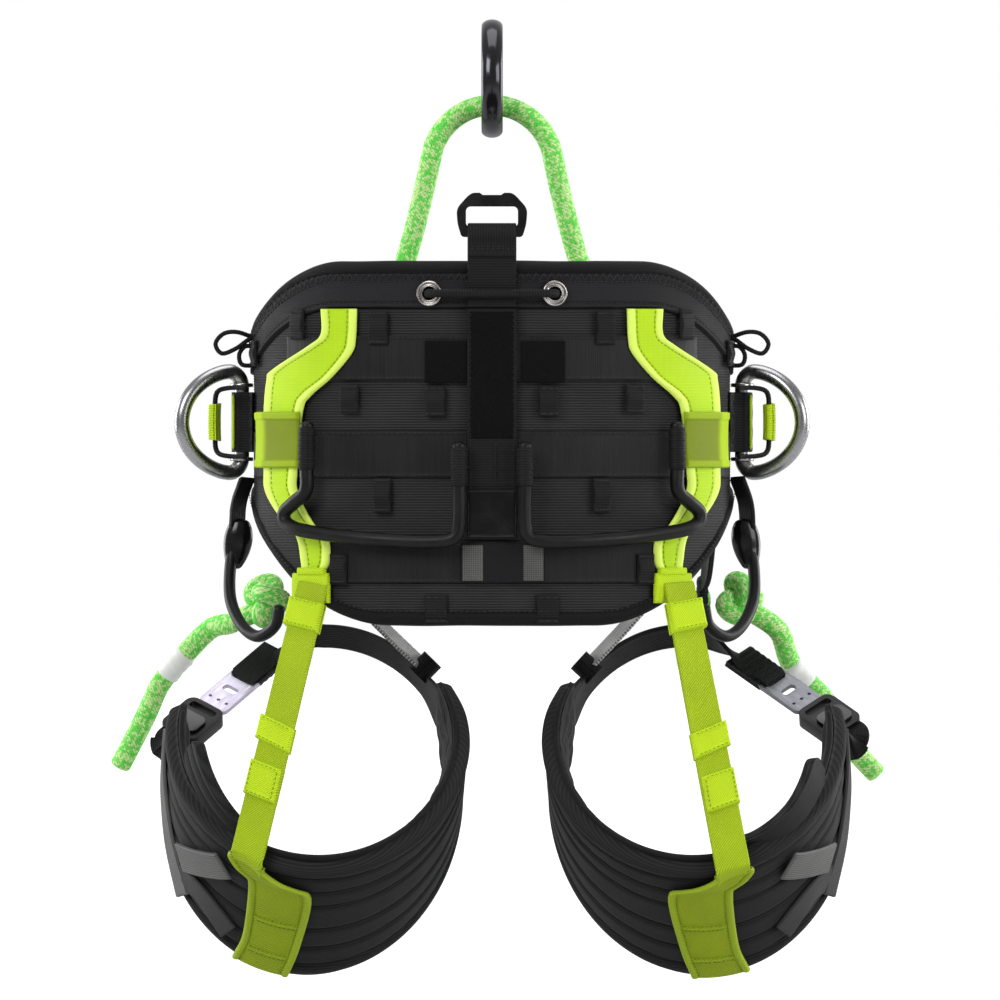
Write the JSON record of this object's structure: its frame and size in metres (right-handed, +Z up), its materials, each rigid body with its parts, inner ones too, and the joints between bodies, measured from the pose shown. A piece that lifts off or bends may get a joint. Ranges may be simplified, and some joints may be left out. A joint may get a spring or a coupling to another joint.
{
  "type": "tree climbing saddle",
  "caption": "Padded work-positioning saddle: curved waist belt with side D-rings and gear loops, rope bridge with a sliding ring, and a pair of adjustable leg loops.",
  "frame": {"origin": "on the outer face of the spine panel, in the middle of the back at the height of the side D-rings", "axes": "+X towards the wearer's right, +Y towards the wearer's front, +Z up; seen from behind, +X is to the right"},
  "size_m": [0.4702, 0.2824, 0.5795],
  "materials": {
    "black_fabric": "matte woven",
    "black_webbing": "ribbed weave",
    "grey_webbing": "woven",
    "lime_webbing": "ribbed weave",
    "green_rope": "braided",
    "black_plastic": "moulded",
    "polished_aluminium": "polished",
    "black_anodised": "gloss anodised"
  },
  "bodies": {
    "saddle": {"back_pad": "black_fabric", "outer_shell": "black_fabric", "top_facing": "black_fabric", "top_roll": "black_fabric", "bottom_roll": "black_fabric", "webbing_row_upper": "black_webbing", "webbing_row_middle": "black_webbing", "webbing_row_lower": "black_webbing", "spine_strap": "black_webbing", "spine_panel": "black_webbing", "elastic_cord": "black_webbing", "waist_strap_left": "black_webbing", "waist_strap_right": "black_webbing", "d_ring_keeper_left": "black_webbing", "d_ring_keeper_right": "black_webbing", "d_ring_cord_left": "black_webbing", "d_ring_cord_right": "black_webbing", "accessory_loop_left": "black_webbing", "accessory_loop_right": "black_webbing", "bridge_anchor_left": "black_webbing", "bridge_anchor_right": "black_webbing", "belt_strap_left": "lime_webbing", "belt_strap_right": "lime_webbing", "belt_wrap_left": "lime_webbing", "belt_wrap_right": "lime_webbing", "bridge_knot_left": "green_rope", "bridge_knot_right": "green_rope", "bridge_tail_left": "green_rope", "bridge_tail_right": "green_rope", "eyelet_left": "polished_aluminium", "eyelet_right": "polished_aluminium"},
    "strap_loop": {"strap_loop": "black_plastic"},
    "bridge": {"bridge_rope": "green_rope"},
    "ring": {"bridge_ring": "black_anodised"},
    "waist_frame": {"waist_buckle_frame": "black_anodised"},
    "waist_tongue": {"waist_buckle_tongue": "polished_aluminium"},
    "d_ring_left": {"d_ring_left": "polished_aluminium"},
    "back_gear_loop_left": {"back_gear_loop_left": "black_plastic"},
    "side_gear_loop_left": {"side_gear_loop_left": "black_plastic"},
    "leg_left": {"leg_pad_left": "black_fabric", "leg_patch_left": "lime_webbing", "riser_left": "lime_webbing", "riser_keeper_left": "lime_webbing", "leg_outer_strap_left": "grey_webbing", "leg_front_strap_left": "black_webbing", "front_link_left": "grey_webbing"},
    "leg_buckle_left": {"leg_buckle_frame_left": "black_plastic"},
    "leg_tongue_left": {"leg_buckle_tongue_left": "polished_aluminium"},
    "d_ring_right": {"d_ring_right": "polished_aluminium"},
    "back_gear_loop_right": {"back_gear_loop_right": "black_plastic"},
    "side_gear_loop_right": {"side_gear_loop_right": "black_plastic"},
    "leg_right": {"leg_pad_right": "black_fabric", "leg_patch_right": "lime_webbing", "riser_right": "lime_webbing", "riser_keeper_right": "lime_webbing", "leg_outer_strap_right": "grey_webbing", "leg_front_strap_right": "black_webbing", "front_link_right": "grey_webbing"},
    "leg_buckle_right": {"leg_buckle_frame_right": "black_plastic"},
    "leg_tongue_right": {"leg_buckle_tongue_right": "polished_aluminium"}
  },
  "joints": [
    {"name": "bridge_swing", "type": "hinge", "parent": "saddle", "child": "bridge", "pos_m": [0, 0.1908, -0.107], "axis": [1, 0, 0], "range_deg": [-75, 6]},
    {"name": "ring_travel", "type": "hinge", "parent": "bridge", "child": "ring", "pos_m": [0, 0.2358, 0.155], "axis": [0, 1, 0], "range_deg": [-40, 40]},
    {"name": "strap_loop_flip", "type": "hinge", "parent": "saddle", "child": "strap_loop", "pos_m": [0, 0.00085, 0.114], "axis": [1, 0, 0], "range_deg": [-80, 80]},
    {"name": "waist_frame_tilt", "type": "hinge", "parent": "saddle", "child": "waist_frame", "pos_m": [0.0385, 0.211, 0], "axis": [0, 0, 1], "range_deg": [0, 12]},
    {"name": "waist_tongue_tilt", "type": "hinge", "parent": "saddle", "child": "waist_tongue", "pos_m": [-0.0385, 0.2146, 0], "axis": [0, 0, 1], "range_deg": [0, 35]},
    {"name": "d_ring_left_swing", "type": "hinge", "parent": "saddle", "child": "d_ring_left", "pos_m": [-0.1505, 0.1248, 0], "axis": [0, 0, 1], "range_deg": [-90, 28]},
    {"name": "back_gear_loop_left_lift", "type": "hinge", "parent": "saddle", "child": "back_gear_loop_left", "pos_m": [-0.06505, 0.01201, -0.006], "axis": [0.919, -0.3752, -0.1211], "range_deg": [-45, 0]},
    {"name": "side_gear_loop_left_lift", "type": "hinge", "parent": "saddle", "child": "side_gear_loop_left", "pos_m": [-0.14025, 0.08555, -0.089], "axis": [0.332, -0.7829, -0.5261], "range_deg": [-25, 0]},
    {"name": "leg_left_sway", "type": "hinge", "parent": "saddle", "child": "leg_left", "pos_m": [-0.1085, 0.0343, -0.103], "axis": [0.1332, 0.991, 0.013], "range_deg": [-8, 7]},
    {"name": "leg_buckle_left_tilt", "type": "hinge", "parent": "leg_left", "child": "leg_buckle_left", "pos_m": [-0.18504, 0.15142, -0.18526], "axis": [-0.7802, 0.4737, 0.4086], "range_deg": [-12, 12]},
    {"name": "leg_tongue_left_tilt", "type": "hinge", "parent": "leg_left", "child": "leg_tongue_left", "pos_m": [-0.14651, 0.18665, -0.15252], "axis": [-0.7802, 0.4737, 0.4086], "range_deg": [-10, 10]},
    {"name": "d_ring_right_swing", "type": "hinge", "parent": "saddle", "child": "d_ring_right", "pos_m": [0.1505, 0.1248, 0], "axis": [0, 0, 1], "range_deg": [-28, 90]},
    {"name": "back_gear_loop_right_lift", "type": "hinge", "parent": "saddle", "child": "back_gear_loop_right", "pos_m": [0.06505, 0.01201, -0.006], "axis": [-0.919, -0.3752, -0.1211], "range_deg": [0, 45]},
    {"name": "side_gear_loop_right_lift", "type": "hinge", "parent": "saddle", "child": "side_gear_loop_right", "pos_m": [0.14025, 0.08555, -0.089], "axis": [-0.332, -0.7829, -0.5261], "range_deg": [0, 25]},
    {"name": "leg_right_sway", "type": "hinge", "parent": "saddle", "child": "leg_right", "pos_m": [0.113, 0.0363, -0.103], "axis": [-0.0861, 0.9962, 0.0132], "range_deg": [-7, 8]},
    {"name": "leg_buckle_right_tilt", "type": "hinge", "parent": "leg_right", "child": "leg_buckle_right", "pos_m": [0.20838, 0.15383, -0.18289], "axis": [-0.7417, -0.4756, -0.473], "range_deg": [-12, 12]},
    {"name": "leg_tongue_right_tilt", "type": "hinge", "parent": "leg_right", "child": "leg_tongue_right", "pos_m": [0.16699, 0.18948, -0.15384], "axis": [-0.7417, -0.4756, -0.473], "range_deg": [-10, 10]}
  ]
}
